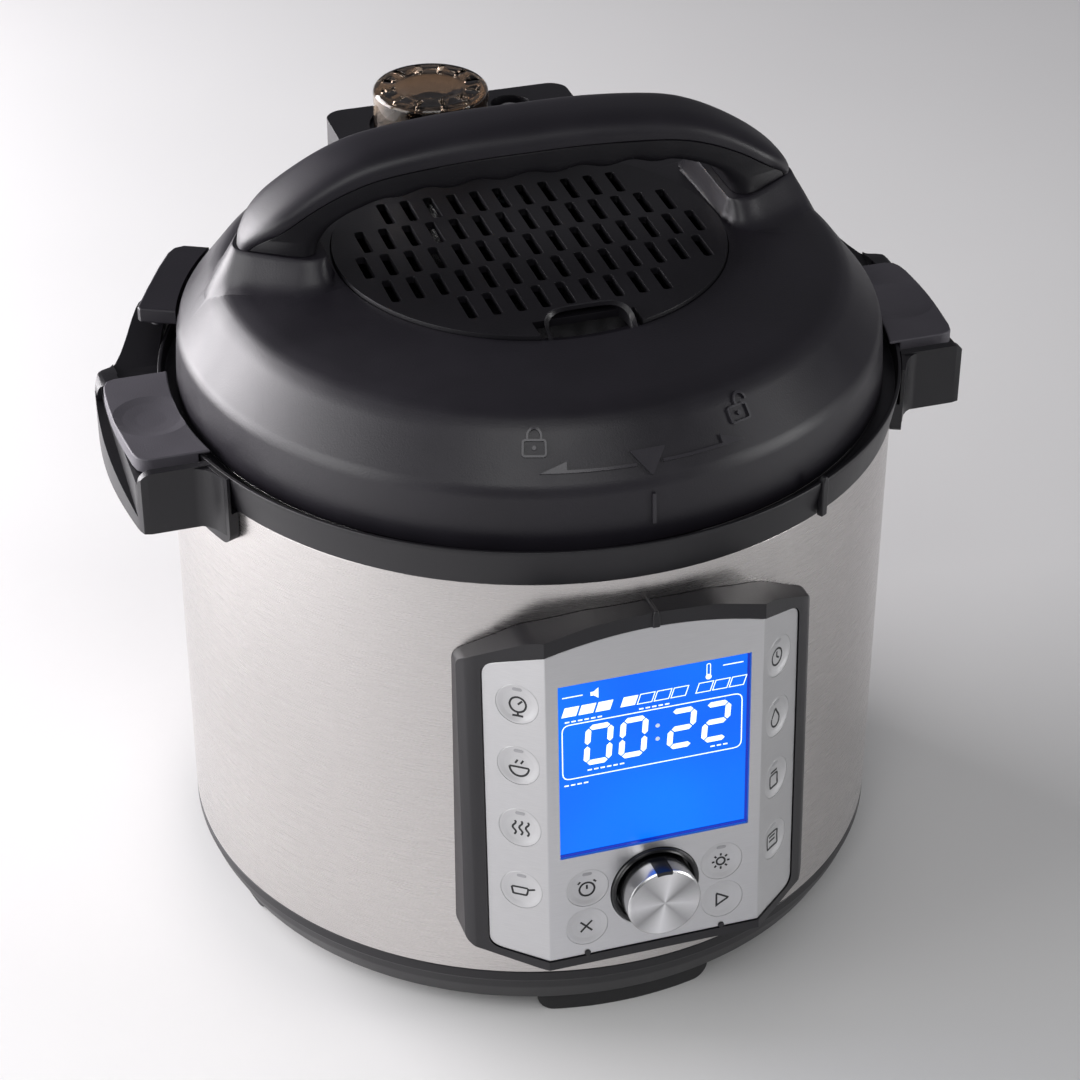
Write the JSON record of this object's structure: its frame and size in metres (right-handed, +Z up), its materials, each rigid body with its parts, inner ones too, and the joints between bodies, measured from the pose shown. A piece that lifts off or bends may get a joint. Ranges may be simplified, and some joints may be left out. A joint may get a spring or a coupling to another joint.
{
  "type": "electric pressure cooker",
  "caption": "Electric pressure cooker with a round steel body, twist-off domed lid, arched handle, slotted steam grille, valves and a front control panel with display, buttons and a knob.",
  "frame": {"origin": "on the worktop, under the middle of the outline, on the axis of the round body", "axes": "+Z up, control panel facing -Y, +X to the right of a person who faces the panel"},
  "size_m": [0.3412, 0.3442, 0.3254],
  "materials": {
    "black_plastic": "fine-grained satin",
    "charcoal_plastic": "fine-grained satin",
    "rubber": "matte",
    "brushed_steel": "brushed round the body",
    "bright_steel": "satin",
    "cast_plate": "bead blasted",
    "silver_face": "fine horizontal brushing",
    "button_silver": "satin silver paint",
    "knob_metal": "spun face",
    "blue_display": "backlit",
    "smoky_clear": "smoky transparent plastic",
    "clear_plastic": "clear plastic",
    "silicone": "matte translucent",
    "circuit_green": "circuit board"
  },
  "bodies": {
    "base": {"bottom_base": "black_plastic", "bottom_cover": "black_plastic", "foot_front": "rubber", "foot_right": "rubber", "foot_rear": "rubber", "foot_left": "rubber", "power_inlet": "black_plastic", "power_board": "circuit_green", "steel_housing": "brushed_steel", "top_ring": "black_plastic", "side_handle_left": "black_plastic", "handle_pad_left": "charcoal_plastic", "side_handle_right": "black_plastic", "handle_pad_right": "charcoal_plastic", "inner_liner": "bright_steel", "locking_ring": "bright_steel", "heating_plate": "cast_plate", "sensor_spring": "bright_steel", "inner_pot": "bright_steel", "cup_bracket": "black_plastic", "panel_bezel": "black_plastic", "face_plate": "silver_face", "display": "blue_display", "control_board": "circuit_green", "knob_seat": "black_plastic"},
    "sensor_button": {"sensor_button": "bright_steel"},
    "condensation_cup": {"condensation_cup": "clear_plastic"},
    "knob_shaft": {"knob_shaft": "bright_steel"},
    "knob": {"knob": "knob_metal"},
    "seal": {"sealing_ring": "silicone", "ring_rack": "bright_steel"},
    "lid": {"lid_cover": "charcoal_plastic", "lid_fin": "charcoal_plastic", "handle_shell": "charcoal_plastic", "handle_grip": "black_plastic", "handle_screw_left": "bright_steel", "handle_screw_right": "bright_steel", "valve_deck": "black_plastic", "steam_pipe": "bright_steel", "inner_lid": "bright_steel", "block_shield": "bright_steel"},
    "grille": {"grille": "black_plastic"},
    "steam_cap": {"steam_cap": "smoky_clear"},
    "release_valve": {"release_valve": "black_plastic"},
    "float_valve": {"float_valve": "bright_steel", "float_seal": "silicone"},
    "button_left_1": {"button_left_1": "button_silver"},
    "button_left_2": {"button_left_2": "button_silver"},
    "button_left_3": {"button_left_3": "button_silver"},
    "button_left_4": {"button_left_4": "button_silver"},
    "button_inner_left_1": {"button_inner_left_1": "button_silver"},
    "button_inner_left_2": {"button_inner_left_2": "button_silver"},
    "button_right_1": {"button_right_1": "button_silver"},
    "button_right_2": {"button_right_2": "button_silver"},
    "button_right_3": {"button_right_3": "button_silver"},
    "button_right_4": {"button_right_4": "button_silver"},
    "button_inner_right_1": {"button_inner_right_1": "button_silver"},
    "button_inner_right_2": {"button_inner_right_2": "button_silver"}
  },
  "joints": [
    {"name": "lid_lift", "type": "slide", "parent": "base", "child": "seal", "axis": [0, 0, 1], "range_m": [0, 0.15]},
    {"name": "lid_turn", "type": "hinge", "parent": "seal", "child": "lid", "pos_m": [0, 0, 0.245], "axis": [0, 0, 1], "range_deg": [0, 30]},
    {"name": "grille_tilt", "type": "hinge", "parent": "lid", "child": "grille", "pos_m": [0, 0.0677, 0.2746], "axis": [-1, 0, 0], "range_deg": [0, 12]},
    {"name": "steam_cap_lift", "type": "slide", "parent": "lid", "child": "steam_cap", "axis": [0, 0, 1], "range_m": [0, 0.03]},
    {"name": "release_valve_lift", "type": "slide", "parent": "lid", "child": "release_valve", "axis": [0, 0, 1], "range_m": [0, 0.003]},
    {"name": "float_valve_rise", "type": "slide", "parent": "lid", "child": "float_valve", "axis": [0, 0, 1], "range_m": [0, 0.0025]},
    {"name": "cup_slide", "type": "slide", "parent": "base", "child": "condensation_cup", "axis": [0, 1, 0], "range_m": [0, 0.03]},
    {"name": "sensor_press", "type": "slide", "parent": "base", "child": "sensor_button", "axis": [0, 0, -1], "range_m": [0, 0.0015], "stiffness_N_per_m": 400, "springref_m": -0.003, "deforming": ["sensor_spring"]},
    {"name": "knob_press", "type": "slide", "parent": "base", "child": "knob_shaft", "axis": [0, 0.9982, -0.0607], "range_m": [0, 0.001], "stiffness_N_per_m": 900},
    {"name": "knob_turn", "type": "hinge", "parent": "knob_shaft", "child": "knob", "pos_m": [0, -0.15956, 0.08201], "axis": [0, -0.9982, 0.0607], "continuous": true},
    {"name": "press_left_1", "type": "slide", "parent": "base", "child": "button_left_1", "axis": [0.6123, 0.7892, -0.048], "range_m": [0, 0.0006], "stiffness_N_per_m": 600},
    {"name": "press_left_2", "type": "slide", "parent": "base", "child": "button_left_2", "axis": [0.6123, 0.7892, -0.048], "range_m": [0, 0.0006], "stiffness_N_per_m": 600},
    {"name": "press_left_3", "type": "slide", "parent": "base", "child": "button_left_3", "axis": [0.6123, 0.7892, -0.048], "range_m": [0, 0.0006], "stiffness_N_per_m": 600},
    {"name": "press_left_4", "type": "slide", "parent": "base", "child": "button_left_4", "axis": [0.6123, 0.7892, -0.048], "range_m": [0, 0.0006], "stiffness_N_per_m": 600},
    {"name": "press_inner_left_1", "type": "slide", "parent": "base", "child": "button_inner_left_1", "axis": [0, 0.9982, -0.0607], "range_m": [0, 0.0006], "stiffness_N_per_m": 600},
    {"name": "press_inner_left_2", "type": "slide", "parent": "base", "child": "button_inner_left_2", "axis": [0, 0.9982, -0.0607], "range_m": [0, 0.0006], "stiffness_N_per_m": 600},
    {"name": "press_right_1", "type": "slide", "parent": "base", "child": "button_right_1", "axis": [-0.6123, 0.7892, -0.048], "range_m": [0, 0.0006], "stiffness_N_per_m": 600},
    {"name": "press_right_2", "type": "slide", "parent": "base", "child": "button_right_2", "axis": [-0.6123, 0.7892, -0.048], "range_m": [0, 0.0006], "stiffness_N_per_m": 600},
    {"name": "press_right_3", "type": "slide", "parent": "base", "child": "button_right_3", "axis": [-0.6123, 0.7892, -0.048], "range_m": [0, 0.0006], "stiffness_N_per_m": 600},
    {"name": "press_right_4", "type": "slide", "parent": "base", "child": "button_right_4", "axis": [-0.6123, 0.7892, -0.048], "range_m": [0, 0.0006], "stiffness_N_per_m": 600},
    {"name": "press_inner_right_1", "type": "slide", "parent": "base", "child": "button_inner_right_1", "axis": [0, 0.9982, -0.0607], "range_m": [0, 0.0006], "stiffness_N_per_m": 600},
    {"name": "press_inner_right_2", "type": "slide", "parent": "base", "child": "button_inner_right_2", "axis": [0, 0.9982, -0.0607], "range_m": [0, 0.0006], "stiffness_N_per_m": 600}
  ]
}
